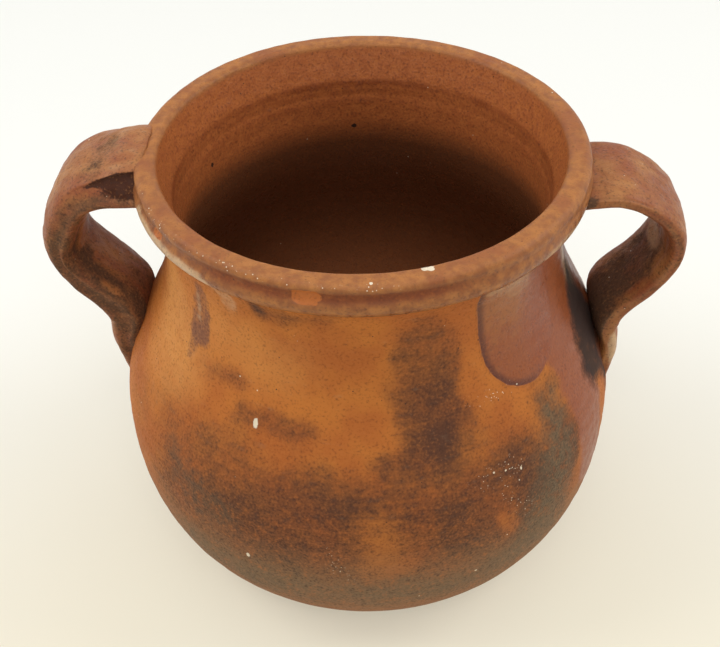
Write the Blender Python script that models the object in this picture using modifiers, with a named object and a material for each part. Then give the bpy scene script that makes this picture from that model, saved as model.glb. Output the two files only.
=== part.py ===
"""A two-handled earthenware cooking pot, resting on its base at the origin.

The vessel is one thrown wall: floor, belly, neck, and a rim that is folded outwards and grooved.
Two straps of clay are luted to the side of the rim and to the belly, and reach out along X.
Heights stand on the base, drops hang from the flat lip, and profile points are (radius, height).
"""

import math
from typing import NamedTuple

import bmesh
import bpy
from mathutils import Vector

MM = 0.001

# Vessel
HEIGHT = 150 * MM
BASE_RADIUS = 54 * MM
BELLY_RADIUS = 83.3 * MM
BELLY_HEIGHT = 52 * MM
NECK_RADIUS = 62.5 * MM
NECK_DROP = 21 * MM
WALL = 5 * MM
FLOOR = 6 * MM

# Rim: a flat lip, a thin roll, a groove and a broader band, folded out over the neck
RIM_OVERHANG = 7.5 * MM
BAND_ROUND = 4.6 * MM
ROLL_ROUND = 2.4 * MM
ROLL_INSET = 0.7 * MM
LIP_WIDTH = 2.9 * MM
LIP_ROUND = 2 * MM
FOLD_DROP = 13 * MM
FOLD_RELIEF = 0.9 * MM

# Seats of the handles
SEAT_GAP = 0.3 * MM
ROOT_BURY = 4.5 * MM
TAIL_BURY = 2.5 * MM

# Facets
TURN_STEPS = 48
WALL_STEPS = 9
ARC_STEPS = 5
STRAP_STEPS = 5
STRAP_SIDES = 16

# Angles up from level, in degrees: the roll and the band meet in the groove, and the band ends below
ROLL_END = -38
BAND_START = 48
BAND_END = -52

# Exponents: the round of the belly into the base, the squareness of a strap's section and its taper
BELLY_FALL = 2.2
BELLY_ROUND = 1.7
STRAP_SQUARE = 2.6
STRAP_TAPER = 1.1

# Radii that follow from the sizes above
RIM_RADIUS = NECK_RADIUS + RIM_OVERHANG
ROLL_CENTRE = RIM_RADIUS - ROLL_INSET - ROLL_ROUND
MOUTH_RADIUS = ROLL_CENTRE - LIP_WIDTH


class Strap(NamedTuple):
    """A handle: its centre line leaves the rim, turns at the reach and lands on the belly.

    Each bend is (distance out from the belly, drop), and the landing and the foot, where the strap lies
    along the wall, are (distance out from the wall, drop). The azimuth is in degrees.
    """

    azimuth: float
    root_drop: float
    bends: tuple
    landing: tuple
    foot: tuple
    tail_drop: float
    root_width: float
    tail_width: float
    root_thickness: float
    tail_thickness: float


LEFT = Strap(
    azimuth=179.5,
    root_drop=8.5 * MM,
    bends=((-0.3 * MM, 10.8 * MM), (9.1 * MM, 20.4 * MM), (12.1 * MM, 33.4 * MM), (7.5 * MM, 45.1 * MM)),
    landing=(5.8 * MM, 60.1 * MM),
    foot=(1.6 * MM, 72.3 * MM),
    tail_drop=98 * MM,
    root_width=37.4 * MM,
    tail_width=23.3 * MM,
    root_thickness=13.6 * MM,
    tail_thickness=12.3 * MM,
)
RIGHT = Strap(
    azimuth=0.8,
    root_drop=13.9 * MM,
    bends=((-4.2 * MM, 12.2 * MM), (10.7 * MM, 21.4 * MM), (14.2 * MM, 33.6 * MM), (7.9 * MM, 46.8 * MM)),
    landing=(5.5 * MM, 60.6 * MM),
    foot=(1.4 * MM, 74.1 * MM),
    tail_drop=97 * MM,
    root_width=33.6 * MM,
    tail_width=27.3 * MM,
    root_thickness=6.7 * MM,
    tail_thickness=7.3 * MM,
)

# Colours of the bare clay and of the slip-coated straps
CLAY = (0.47, 0.19, 0.05, 1.0)
SLIP = (0.25, 0.09, 0.04, 1.0)
CLAY_ROUGHNESS = 0.6
SLIP_ROUGHNESS = 0.4


def clear_scene():
    for thing in list(bpy.data.objects):
        bpy.data.objects.remove(thing, do_unlink=True)


def new_collection(name):
    collection = bpy.data.collections.new(name)
    bpy.context.scene.collection.children.link(collection)
    return collection


def new_material(name, colour, roughness):
    material = bpy.data.materials.new(name)
    material.use_nodes = True
    shader = material.node_tree.nodes["Principled BSDF"]
    shader.inputs["Base Color"].default_value = colour
    shader.inputs["Roughness"].default_value = roughness
    shader.inputs["Metallic"].default_value = 0.0
    return material


# Curves of the turned wall


def arc(centre_radius, centre_height, radius, start, end):
    """Points round a centre, from one angle to another, in degrees up from the radial direction."""
    points = []
    for step in range(ARC_STEPS + 1):
        angle = math.radians(start + (end - start) * step / ARC_STEPS)
        points.append((centre_radius + radius * math.cos(angle), centre_height + radius * math.sin(angle)))
    return points


def ease(share):
    """A rise from 0 to 1 that starts and ends level, and bends gently at both ends."""
    return share**3 * (share * (6 * share - 15) + 10)


def shoulder(inset):
    """The swell from the neck down to the widest ring of the belly, moved in from the outside by an inset."""
    top = HEIGHT - NECK_DROP
    points = []
    for step in range(WALL_STEPS + 1):
        share = step / WALL_STEPS
        radius = NECK_RADIUS + (BELLY_RADIUS - NECK_RADIUS) * ease(share)
        points.append((radius - inset, top + (BELLY_HEIGHT - top) * share))
    return points


def underbelly(inset, bottom):
    """The round from the widest ring down to a flat bottom."""
    points = []
    for step in range(WALL_STEPS + 1):
        angle = math.pi / 2 * step / WALL_STEPS
        fall = math.sin(angle) ** (2 / BELLY_FALL)
        spread = max(0.0, math.cos(angle)) ** (2 / BELLY_ROUND)
        radius = BASE_RADIUS + (BELLY_RADIUS - BASE_RADIUS) * spread
        points.append((radius - inset, BELLY_HEIGHT - (BELLY_HEIGHT - bottom) * fall))
    return points


def wall_radius(height):
    """The outer radius of the wall at a height between the base and the neck."""
    if height < BELLY_HEIGHT:
        fall = (BELLY_HEIGHT - height) / BELLY_HEIGHT
        spread = (1 - fall**BELLY_FALL) ** (1 / BELLY_ROUND)
        return BASE_RADIUS + (BELLY_RADIUS - BASE_RADIUS) * spread
    share = (HEIGHT - NECK_DROP - height) / (HEIGHT - NECK_DROP - BELLY_HEIGHT)
    return NECK_RADIUS + (BELLY_RADIUS - NECK_RADIUS) * ease(max(0.0, share))


def cove(start, end):
    """A hollow quarter round from the underside of the rim to the neck."""
    points = []
    for step in range(1, ARC_STEPS):
        angle = math.pi / 2 * step / ARC_STEPS
        radius = start[0] + (end[0] - start[0]) * math.sin(angle)
        height = start[1] + (end[1] - start[1]) * (1 - math.cos(angle))
        points.append((radius, height))
    return points


def outside():
    """The outer profile from the inner edge of the lip down to the edge of the base."""
    roll = arc(ROLL_CENTRE, HEIGHT - ROLL_ROUND, ROLL_ROUND, 90, ROLL_END)
    groove = roll[-1][1]
    band_height = groove - BAND_ROUND * math.sin(math.radians(BAND_START))
    band = arc(RIM_RADIUS - BAND_ROUND, band_height, BAND_ROUND, BAND_START, BAND_END)
    wall = shoulder(0) + underbelly(0, 0)[1:]
    return [(MOUTH_RADIUS, HEIGHT)] + roll + band + cove(band[-1], wall[0]) + wall


def inside():
    """The inner profile from the floor's edge up to the lip, with the crease where the rim folds out."""
    floor_to_belly = underbelly(WALL, FLOOR)[::-1]
    belly_to_throat = shoulder(WALL)[::-1]
    fold = (NECK_RADIUS - WALL + FOLD_RELIEF, HEIGHT - FOLD_DROP)
    lip = arc(MOUTH_RADIUS, HEIGHT - LIP_ROUND, LIP_ROUND, 180, 90)
    return floor_to_belly + belly_to_throat[1:] + [fold] + lip[:-1]


def offset(points, gap):
    """A profile moved outwards by a gap, square to its runs."""
    moved = []
    for index, point in enumerate(points):
        before = Vector(points[max(index - 1, 0)])
        after = Vector(points[min(index + 1, len(points) - 1)])
        here = Vector(point)
        sides = [run.normalized() for run in (here - before, after - here) if run.length > 0]
        along = sum(sides, Vector((0, 0))).normalized()
        normal = Vector((-along.y, along.x))
        moved.append(here + normal * gap / along.dot(sides[0]))
    return moved


def turn(name, profile, collection):
    """A solid turned round Z from a profile that ends on the axis and runs down its outer side."""
    mesh = bpy.data.meshes.new(name)
    edges = [(index, index + 1) for index in range(len(profile) - 1)]
    mesh.from_pydata([(radius, 0, height) for radius, height in profile], edges, [])
    turned = bpy.data.objects.new(name, mesh)
    collection.objects.link(turned)
    screw = turned.modifiers.new("Turn", "SCREW")
    screw.axis = "Z"
    screw.steps = TURN_STEPS
    screw.render_steps = TURN_STEPS
    screw.use_merge_vertices = True
    screw.merge_threshold = 0.0001
    return turned


def make_vessel(collection):
    vessel = turn("vessel", [(0, FLOOR)] + inside() + outside() + [(0, 0)], collection)
    vessel.data.materials.append(new_material("bare_clay", CLAY, CLAY_ROUGHNESS))
    return vessel


def make_seat_cutter(collection):
    """The vessel without its hollow, a seat gap larger all round, with its mouth plugged upwards."""
    outer = offset(outside(), SEAT_GAP)
    plug_top = 2 * HEIGHT
    profile = [(0, plug_top), (MOUTH_RADIUS, plug_top)] + outer + [(0, outer[-1][1])]
    cutter = turn("seat_cutter", profile, collection)
    cutter.hide_render = True
    cutter.display_type = "WIRE"
    return cutter


# Handles


def centre_line(strap):
    """Stations along a strap: (distance from the axis, height, width, thickness)."""
    tail_height = HEIGHT - strap.tail_drop
    tail_inset = strap.tail_thickness / 2 + TAIL_BURY
    path = [(NECK_RADIUS - ROOT_BURY, HEIGHT - strap.root_drop)]
    path += [(BELLY_RADIUS + out, HEIGHT - drop) for out, drop in strap.bends]
    path += [(wall_radius(HEIGHT - drop) + out, HEIGHT - drop) for out, drop in (strap.landing, strap.foot)]
    path += [(wall_radius(tail_height) - tail_inset, tail_height)]
    stations = []
    for index, (distance, height) in enumerate(path):
        share = (index / (len(path) - 1)) ** STRAP_TAPER
        width = strap.root_width + (strap.tail_width - strap.root_width) * share
        thickness = strap.root_thickness + (strap.tail_thickness - strap.root_thickness) * share
        stations.append(Vector((distance, height, width, thickness)))
    return stations


def smooth_through(stations):
    """A Catmull-Rom curve through the stations."""
    padded = [2 * stations[0] - stations[1], *stations, 2 * stations[-1] - stations[-2]]
    points = []
    for before, start, end, after in zip(padded, padded[1:], padded[2:], padded[3:]):
        for step in range(STRAP_STEPS):
            t = step / STRAP_STEPS
            bend = 2 * before - 5 * start + 4 * end - after
            curl = 3 * start - before - 3 * end + after
            points.append((2 * start + (end - before) * t + bend * t**2 + curl * t**3) / 2)
    return [*points, stations[-1]]


def rounded(value):
    """A sine or cosine drawn towards the corners of the section."""
    return math.copysign(abs(value) ** (2 / STRAP_SQUARE), value)


def loft_strap(name, strap):
    """A strap skinned over its changing sections, which lie square to the centre line."""
    points = smooth_through(centre_line(strap))
    shape = bmesh.new()
    rings = []
    for index, point in enumerate(points):
        along = points[min(index + 1, len(points) - 1)] - points[max(index - 1, 0)]
        along = along.xy.normalized()
        ring = []
        for side in range(STRAP_SIDES):
            angle = 2 * math.pi * side / STRAP_SIDES
            out = point.w / 2 * rounded(math.cos(angle))
            across = point.z / 2 * rounded(math.sin(angle))
            ring.append(shape.verts.new((point.x - along.y * out, across, point.y + along.x * out)))
        rings.append(ring)
    for ring, following in zip(rings, rings[1:]):
        for side in range(STRAP_SIDES):
            after = (side + 1) % STRAP_SIDES
            shape.faces.new((ring[side], ring[after], following[after], following[side]))
    shape.faces.new(rings[0])
    shape.faces.new(rings[-1])
    bmesh.ops.recalc_face_normals(shape, faces=shape.faces)
    mesh = bpy.data.meshes.new(name)
    shape.to_mesh(mesh)
    shape.free()
    mesh.shade_smooth()
    return mesh


def make_handle(name, strap, cutter, vessel, collection):
    handle = bpy.data.objects.new(name, loft_strap(name, strap))
    collection.objects.link(handle)
    handle.parent = vessel
    handle.rotation_euler.z = math.radians(strap.azimuth)
    handle.data.materials.append(new_material(name + "_slip", SLIP, SLIP_ROUGHNESS))
    seat = handle.modifiers.new("Seat", "BOOLEAN")
    seat.operation = "DIFFERENCE"
    seat.object = cutter
    return handle


def main():
    clear_scene()
    pot = new_collection("cooking_pot")
    cutters = new_collection("cutters")
    vessel = make_vessel(pot)
    cutter = make_seat_cutter(cutters)
    make_handle("handle_left", LEFT, cutter, vessel, pot)
    make_handle("handle_right", RIGHT, cutter, vessel, pot)


main()
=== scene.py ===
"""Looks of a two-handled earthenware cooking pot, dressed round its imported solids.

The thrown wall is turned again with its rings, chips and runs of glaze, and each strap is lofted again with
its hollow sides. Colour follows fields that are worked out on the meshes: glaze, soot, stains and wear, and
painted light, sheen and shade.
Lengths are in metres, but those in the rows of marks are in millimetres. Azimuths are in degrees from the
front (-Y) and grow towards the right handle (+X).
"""

import math
from typing import NamedTuple

import bmesh
import bpy
import numpy as np
from mathutils import Matrix, Vector, noise


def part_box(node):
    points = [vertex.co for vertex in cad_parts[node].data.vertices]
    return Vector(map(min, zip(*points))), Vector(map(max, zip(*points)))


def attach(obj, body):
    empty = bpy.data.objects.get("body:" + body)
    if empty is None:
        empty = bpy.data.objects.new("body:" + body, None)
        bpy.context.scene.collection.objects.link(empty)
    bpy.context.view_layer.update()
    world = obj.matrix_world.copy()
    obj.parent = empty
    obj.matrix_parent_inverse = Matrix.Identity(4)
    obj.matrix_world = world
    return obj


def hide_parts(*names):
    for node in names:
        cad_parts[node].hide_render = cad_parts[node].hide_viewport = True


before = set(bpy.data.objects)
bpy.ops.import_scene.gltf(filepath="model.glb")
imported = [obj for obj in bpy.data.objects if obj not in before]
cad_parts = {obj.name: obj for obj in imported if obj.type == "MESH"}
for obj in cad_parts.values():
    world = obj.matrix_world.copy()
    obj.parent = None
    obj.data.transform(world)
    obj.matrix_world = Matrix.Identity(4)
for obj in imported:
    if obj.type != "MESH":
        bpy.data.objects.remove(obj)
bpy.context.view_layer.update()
MM = 0.001

# Vessel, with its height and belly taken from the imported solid
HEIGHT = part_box("vessel")[1].z
BELLY_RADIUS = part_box("vessel")[1].y
BASE_RADIUS = 54 * MM
BELLY_HEIGHT = 52 * MM
NECK_RADIUS = 62.5 * MM
NECK_DROP = 21 * MM
WALL = 5 * MM
FLOOR = 6 * MM

# Rim: a flat lip, a thin roll, a groove and a broader band, folded out over the neck
RIM_RADIUS = NECK_RADIUS + 7.5 * MM
BAND_ROUND = 4.6 * MM
ROLL_ROUND = 2.4 * MM
ROLL_CENTRE = RIM_RADIUS - 0.7 * MM - ROLL_ROUND
MOUTH_RADIUS = ROLL_CENTRE - 2.9 * MM
LIP_ROUND = 2 * MM
LIP_SOFT = 1.9 * MM
LIP_LEAN = 162
FOLD_DROP = 13 * MM
FOLD_RELIEF = 0.9 * MM
ROLL_END = -38
BAND_START = 48
BAND_END = -52
RIM_SOFTNESS = 4
FOLD_SOFTNESS = 5
BELLY_FALL = 2.2
BELLY_ROUND = 1.7

# Facets: points round the vessel, and along each stretch of its profile
TURNS = 360
FLOOR_STEPS = 10
INSIDE_STEPS = 28
THROAT_STEPS = 12
LIP_STEPS = 8
ARC_STEPS = 12
COVE_STEPS = 8
OUTSIDE_STEPS = 62
BASE_STEPS = 5
STRAP_STEPS = 22
STRAP_SIDES = 96

# Camera
LENS = 60.0
SENSOR = 36.0
CAMERA_DISTANCE = 412.3 * MM
CAMERA_AZIMUTH = 3.5
CAMERA_ELEVATION = 41.5
CAMERA_ROLL = -1.89
AIM_ASIDE = -2.15 * MM
AIM_HEIGHT = 76.9 * MM


# Rises, humps and turns


def smooth_step(value, low, high):
    """A rise from 0 to 1 as a value goes from low to high."""
    share = np.clip((value - low) / (high - low), 0, 1)
    return share * share * (3 - 2 * share)


def between(value, start, end):
    """1 between a start and an end, each of them a stretch over which it changes, and 0 beyond them."""
    return smooth_step(value, *start) * smooth_step(value, *end[::-1])


def hump(distance, reach):
    """1 at a distance of 0, fading out on both sides."""
    return np.exp(-((distance / reach) ** 2))


def near_turn(degrees):
    """The same angle, between -180 and 180."""
    return (degrees + 180) % 360 - 180


def round_points(radius, azimuth, height):
    """Points at the given radii from the axis, azimuths and heights."""
    turn = np.radians(azimuth)
    return np.stack([radius * np.sin(turn), -radius * np.cos(turn), height], axis=-1)


# Curves of the wall, as points (radius, height)


def arc(radius, height, size, start, end, steps):
    angles = np.radians(np.linspace(start, end, steps + 1))
    return np.column_stack([radius + size * np.cos(angles), height + size * np.sin(angles)])


def straight(start, end, steps):
    return np.linspace(start, end, steps + 1)


def ease(share):
    """A rise from 0 to 1 that starts and ends level, and bends gently at both ends."""
    return share**3 * (share * (6 * share - 15) + 10)


def shoulder(inset, steps):
    """The swell from the neck down to the widest ring of the belly, moved in from the outside by an inset."""
    share = np.linspace(0, 1, steps + 1)
    top = HEIGHT - NECK_DROP
    radii = NECK_RADIUS + (BELLY_RADIUS - NECK_RADIUS) * ease(share) - inset
    return np.column_stack([radii, top + (BELLY_HEIGHT - top) * share])


def underbelly(inset, bottom, steps):
    """The round from the widest ring down to a flat bottom."""
    angles = np.linspace(0, math.pi / 2, steps + 1)
    fall = np.sin(angles) ** (2 / BELLY_FALL)
    spread = np.maximum(0.0, np.cos(angles)) ** (2 / BELLY_ROUND)
    radii = BASE_RADIUS + (BELLY_RADIUS - BASE_RADIUS) * spread - inset
    return np.column_stack([radii, BELLY_HEIGHT - (BELLY_HEIGHT - bottom) * fall])


def wall_radius(height):
    """The outer radius of the wall at heights between the base and the neck."""
    fall = np.clip((BELLY_HEIGHT - height) / BELLY_HEIGHT, 0, 1)
    below = BASE_RADIUS + (BELLY_RADIUS - BASE_RADIUS) * (1 - fall**BELLY_FALL) ** (1 / BELLY_ROUND)
    top = HEIGHT - NECK_DROP
    share = np.clip((top - height) / (top - BELLY_HEIGHT), 0, 1)
    above = NECK_RADIUS + (BELLY_RADIUS - NECK_RADIUS) * ease(share)
    return np.where(height < BELLY_HEIGHT, below, above)


def cove(start, end, steps):
    """A hollow quarter round from the underside of the rim to the neck, without its ends."""
    angles = np.linspace(0, math.pi / 2, steps + 1)[1:-1]
    radii = start[0] + (end[0] - start[0]) * np.sin(angles)
    return np.column_stack([radii, start[1] + (end[1] - start[1]) * (1 - np.cos(angles))])


def soften(points, passes):
    """Rounds the creases of a run of points, which keeps its ends."""
    for _ in range(passes):
        points[1:-1] = (points[:-2] + 2 * points[1:-1] + points[2:]) / 4
    return points


def lip_round():
    """The soft inner edge of the lip and its top, out to the crest of the roll."""
    edge = arc(MOUTH_RADIUS - LIP_ROUND + LIP_SOFT, HEIGHT - LIP_SOFT, LIP_SOFT, LIP_LEAN, 90, LIP_STEPS)
    return np.vstack([edge, straight(edge[-1], (ROLL_CENTRE, HEIGHT), ARC_STEPS)[1:]])


def inside_profile():
    """From the middle of the floor up to the lip, with the crease where the rim folds out."""
    belly = underbelly(WALL, FLOOR, INSIDE_STEPS)[::-1]
    throat = shoulder(WALL, INSIDE_STEPS)[::-1]
    fold = (NECK_RADIUS - WALL + FOLD_RELIEF, HEIGHT - FOLD_DROP)
    lip = lip_round()
    floor = straight((belly[0][0] / FLOOR_STEPS, FLOOR), belly[0], FLOOR_STEPS)
    below = straight(throat[-1], fold, THROAT_STEPS)
    above = straight(fold, lip[0], THROAT_STEPS)
    neck = soften(np.vstack([below, above[1:]]), FOLD_SOFTNESS)
    return np.vstack([floor, belly[1:], throat[1:], neck[1:], lip[1:]])


def outside_profile():
    """From the lip down over the rim, neck and belly to the middle of the base."""
    roll = arc(ROLL_CENTRE, HEIGHT - ROLL_ROUND, ROLL_ROUND, 90, ROLL_END, ARC_STEPS)
    band_height = roll[-1][1] - BAND_ROUND * math.sin(math.radians(BAND_START))
    band = arc(RIM_RADIUS - BAND_ROUND, band_height, BAND_ROUND, BAND_START, BAND_END, ARC_STEPS)
    wall = np.vstack([shoulder(0, OUTSIDE_STEPS), underbelly(0, 0, OUTSIDE_STEPS)[1:]])
    rim = soften(np.vstack([roll[1:], band[1:], cove(band[-1], wall[0], COVE_STEPS)]), RIM_SOFTNESS)
    base = straight(wall[-1], (BASE_RADIUS / BASE_STEPS, 0), BASE_STEPS)
    return np.vstack([rim, wall, base[1:]])


def bend_normals(profile):
    """Unit vectors (out from the axis, up) that point out of the clay."""
    along = np.gradient(profile, axis=0)
    along /= np.linalg.norm(along, axis=1)[:, None]
    return np.column_stack([-along[:, 1], along[:, 0]])


# Meshes


def skin(name, rings, first_pole, last_pole):
    """A closed mesh over rings of equal count, with a fan to a pole at each end."""
    count, sides, _ = rings.shape
    points = np.vstack([rings.reshape(-1, 3), first_pole, last_pole])
    index = np.arange(count * sides).reshape(count, sides)
    after = np.roll(index, -1, axis=1)
    quads = np.stack([index[:-1], index[1:], after[1:], after[:-1]], axis=-1).reshape(-1, 4)
    poles = (count * sides, count * sides + 1)
    fans = [(pole, a, b) for pole, row in zip(poles, (0, -1)) for a, b in zip(index[row], after[row])]
    mesh = bpy.data.meshes.new(name)
    mesh.from_pydata(points.tolist(), [], quads.tolist() + fans)
    shape = bmesh.new()
    shape.from_mesh(mesh)
    bmesh.ops.recalc_face_normals(shape, faces=shape.faces)
    shape.to_mesh(mesh)
    shape.free()
    mesh.shade_smooth()
    return mesh


def add_field(mesh, name, rings, pole_values=(0.0, 0.0)):
    """Stores a value for each point of a skin, for its material to read."""
    field = mesh.attributes.new(name, "FLOAT", "POINT")
    field.data.foreach_set("value", np.concatenate([rings.ravel(), pole_values]).astype(np.float32))


def add_object(name, data):
    item = bpy.data.objects.new(name, data)
    bpy.context.scene.collection.objects.link(item)
    return item


def put_piece(mesh, node, material):
    piece = add_object(mesh.name, mesh)
    mesh.materials.append(material)
    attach(piece, "root")
    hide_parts(node)


def rough(points, size, octaves=3):
    """Smooth noise of about -1 to 1 at points, with swells of the given size."""
    flat = points.reshape(-1, 3) / size
    values = [noise.fractal(Vector(p), 1.0, 2.0, octaves) for p in flat]
    return np.array(values).reshape(points.shape[:-1])


# Marks on the wall: soot, stains, washes of thin glaze and thick runs of it, and painted light, sheen and
# shade


class Streak(NamedTuple):
    """A mark on the wall from one round spot to another, each with its azimuth, height and size."""

    azimuth: float
    height: float
    size: float
    end_azimuth: float
    end_height: float
    end_size: float
    strength: float
    softness: float


def mark(azimuth, height, size, end_azimuth, end_height, end_size, strength=1.0, softness=3):
    """A streak whose lengths are given in millimetres."""
    start = (azimuth, height * MM, size * MM)
    end = (end_azimuth, end_height * MM, end_size * MM)
    return Streak(*start, *end, strength, softness * MM)


SOOT_AND_RIM_SHADE = (
    mark(-34, 52, 25, 36, 55, 28, 0.66, 12),
    mark(-50, 38, 14, 54, 38, 14, 0.18, 10),
    mark(-44, 78, 9, 34, 78, 9, 0.42, 9),
    mark(-14, 78, 6, -3, 76, 7, 0.42, 6),
    mark(-46, 73, 4, -36, 62, 8, 0.55, 6),
    mark(-64, 74, 10, -52, 66, 12, 0.28, 9),
    mark(-6, 62, 8, -24, 55, 10, 0.3, 8),
    mark(22, 66, 8, 26, 56, 9, 0.3, 8),
    mark(18, 124, 9.5, 19, 100, 12.5, 0.6, 4),
    mark(21, 106, 7.5, 21, 95, 9.5, 0.55, 5),
    mark(8, 86.5, 4, 18, 88.5, 7, 0.6),
    mark(-27, 95, 3.6, -13, 95, 4.2, 0.6),
    mark(-52, 88, 6, -30, 86, 6, 0.25, 7),
    mark(51, 90, 4, 52, 70, 9, 0.85, 7),
    mark(52, 72, 7.5, 44, 50, 13, 0.72, 7),
    mark(33, 90, 8, 40, 72, 10, 0.22, 9),
    mark(45, 66, 8, 52, 63, 9, 0.35, 6),
    # Partly a brown smear, partly painted shadow under the rim at the front
    mark(-24, 133, 4, -6, 133, 3, 0.45),
    mark(-27, 139, 1.5, -24, 132, 1.8, 0.9, 1.5),
    mark(-43, 104, 2.4, -31, 104, 3, 0.5),
    mark(3.5, 66, 5.5, 6, 52, 7.5, -0.5, 5),
    mark(32.5, 60, 2, 34, 51, 3, -0.6),
    mark(108, 66, 16, 128, 58, 22, 0.6, 10),
    mark(146, 110, 8, 152, 90, 12, 0.6),
    mark(152, 56, 24, -160, 56, 27, 0.68, 13),
    mark(-150, 97, 6, -146, 78, 11, 0.55),
    mark(-128, 60, 16, -104, 54, 16, 0.55, 10),
)
ASH = (
    mark(52, 86, 6, 46, 52, 12, 0.8, 7),
    mark(-46, 75, 5, -36, 60, 10, 0.4, 6),
    mark(-168, 70, 12, -150, 60, 14, 0.7, 8),
)
# Painted light: lighter clay on the shoulder at the left and front left, where the key lamp falls. The patch
# at the back is a paler tone of the clay.
LIT_AND_PALE_CLAY = (
    mark(-68, 120, 8, -58, 102, 15, 0.8, 9),
    mark(-40, 118, 8, -20, 114, 8, 0.4, 8),
    mark(176, 118, 8, -174, 108, 12, 0.6, 9),
)
STAIN = (
    mark(84, 104, 5, 81, 92, 10, 1.0, 5),
    mark(80, 92, 11, 74, 80, 8.5, 1.0, 5),
    mark(77, 78, 3, 82, 68, 4, 0.9, 4),
    mark(-101, 84, 2, -103, 68, 4, 1.0, 3.5),
)
SMEARS = (
    mark(-47.5, 126, 3.4, -47.5, 112, 5, 0.6, 1.2),
    mark(-44.5, 120, 1, -44.5, 109, 1.6, 0.5, 1.2),
    mark(-49, 111, 3.4, -50.5, 102.5, 1.4, 0.5, 1.2),
    mark(-160, 140, 3, -159, 117, 3.5, 0.8, 0.8),
)
# Painted sheen and highlights: pale reflections on the band of the rim, the neck, the top of the run and the
# smear. The first streak is a real pale drip of glaze.
DRIP_AND_SHEEN = (
    mark(-40, 136, 3.8, -35, 129.5, 3.2, 0.5, 1.2),
    mark(-68, 141.5, 3.2, -38, 140.5, 2.8, 1.1, 1.8),
    mark(50, 141, 1.6, 64, 141.5, 2, 0.6, 1.6),
    mark(38, 133, 3, 50, 131, 5, 0.5, 5),
    mark(82, 120, 3.5, 84, 104, 4.5, 0.85, 4),
    mark(-49, 126, 1, -48.5, 117, 1.3, 0.5, 1.2),
    mark(118, 141, 2, 136, 141, 2, 0.6, 1.6),
)
WASH = (
    mark(62, 128, 8, 64, 104, 10, 1.0, 4),
    mark(63, 104, 10, 66, 48, 9, 1.0, 4),
    mark(76, 122, 12, 90, 88, 20, 1.0, 5),
    mark(-128, 118, 12, -122, 96, 14, 0.8, 9),
)
RUNS = (
    mark(47.5, 140, 16.5, 49, 112, 16.5),
    mark(139, 140, 6, 141, 122, 5),
)
CHIPS = (
    mark(-11.8, 145.7, 2, -8.8, 145.9, 2.1, 1.0, 0.4),
    mark(-56.5, 145.3, 1.4, -54.5, 145.3, 1.5, 1.0, 0.4),
    mark(162, 144.6, 1.5, 165, 144.8, 1.2, 1.0, 0.4),
)
SCRATCHES = (
    mark(27, 76, 1.5, 37, 77, 2.2, 1.8, 2.5),
    mark(33, 72, 1.5, 38.5, 58, 2, 1.8, 2.5),
    mark(29, 99, 1, 41, 98.5, 1.2, 1.2, 2),
    mark(-6, 57, 1, -3, 44, 2, 1.2, 3),
)


class Nick(NamedTuple):
    """A small round mark: its place, its size and how many times as tall as wide it is."""

    azimuth: float
    radius: float
    height: float
    size: float
    tall: float


def dot(azimuth, radius, height, size, tall=1.0):
    """A nick whose lengths are given in millimetres."""
    return Nick(azimuth, radius * MM, height * MM, size * MM, tall)


# Pale spots where the skin of the clay is lost, and dark pits
NICKS = (
    dot(-25, 71, 94.2, 0.8, 4.2),
    dot(17.6, 63.6, 150, 1.0),
    dot(18.8, 63.9, 150, 1.3),
    dot(4.4, 67.2, 150, 0.5),
    dot(-25, 83.1, 46, 0.7, 1.4),
    dot(26.5, 82, 37.5, 0.5),
    dot(43, 69, 98, 0.45),
    dot(34, 79.5, 76.5, 0.4),
    dot(31, 79, 77.5, 0.35),
    dot(36, 79, 79, 0.3, 2.0),
    dot(38, 80, 74.5, 0.35, 2.4),
    dot(37, 81, 71, 0.3, 1.4),
    dot(40, 81, 69, 0.3, 2.0),
    dot(9.5, 76, 83, 0.4, 2.0),
    dot(131, 78, 79, 0.8, 1.5),
    dot(-139, 71, 94, 0.8),
)
PITS = (
    dot(-174.6, 57.4, 120, 1.0),
    dot(-116.3, 57.5, 124.7, 0.8),
    dot(176, 76, 36, 1.0),
    dot(0, 79.7, 70, 0.6),
    dot(61, 80, 65, 0.6),
    dot(-57.5, 77, 84, 0.7),
)
BROAD_MARKS = {"soot": SOOT_AND_RIM_SHADE, "ash": ASH, "lit_and_pale_clay": LIT_AND_PALE_CLAY, "stain": STAIN, "wash": WASH}
FINE_MARKS = {"smear": SMEARS, "drip_and_sheen": DRIP_AND_SHEEN}
GLAZE_EDGE = HEIGHT - 10.3 * MM
GROOVE_DROP = 3.9 * MM
GROOVE_SIZE = 2.1 * MM


class Wall(NamedTuple):
    """Points on the turned wall, as rings along the profile."""

    azimuth: np.ndarray
    height: np.ndarray
    radius: np.ndarray
    outer: np.ndarray


def depth_in(wall, streak, warp):
    """How far inside a streak each point lies: positive in it, negative outside it and on the inner wall."""
    aside = np.radians(near_turn(wall.azimuth - streak.azimuth)) * wall.radius + warp[0]
    up = wall.height - streak.height + warp[1]
    end_aside = np.radians(near_turn(streak.end_azimuth - streak.azimuth)) * wall.radius
    end_up = streak.end_height - streak.height
    share = np.clip((aside * end_aside + up * end_up) / (end_aside**2 + end_up**2), 0, 1)
    size = streak.size + (streak.end_size - streak.size) * share
    away = np.hypot(aside - share * end_aside, up - share * end_up)
    return np.where(wall.outer, size - away, -BELLY_RADIUS)


def soft_marks(wall, streaks, warp):
    """Streaks laid over one another, each fading out across its edge. Those below 0 wipe the others off."""
    clean = 1.0
    for streak in streaks:
        depth = depth_in(wall, streak, warp)
        share = abs(streak.strength) * smooth_step(depth, -streak.softness, streak.softness)
        clean = clean * (1 - share) if streak.strength > 0 else clean + (1 - clean) * share
    return 1 - clean


# Vessel

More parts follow.
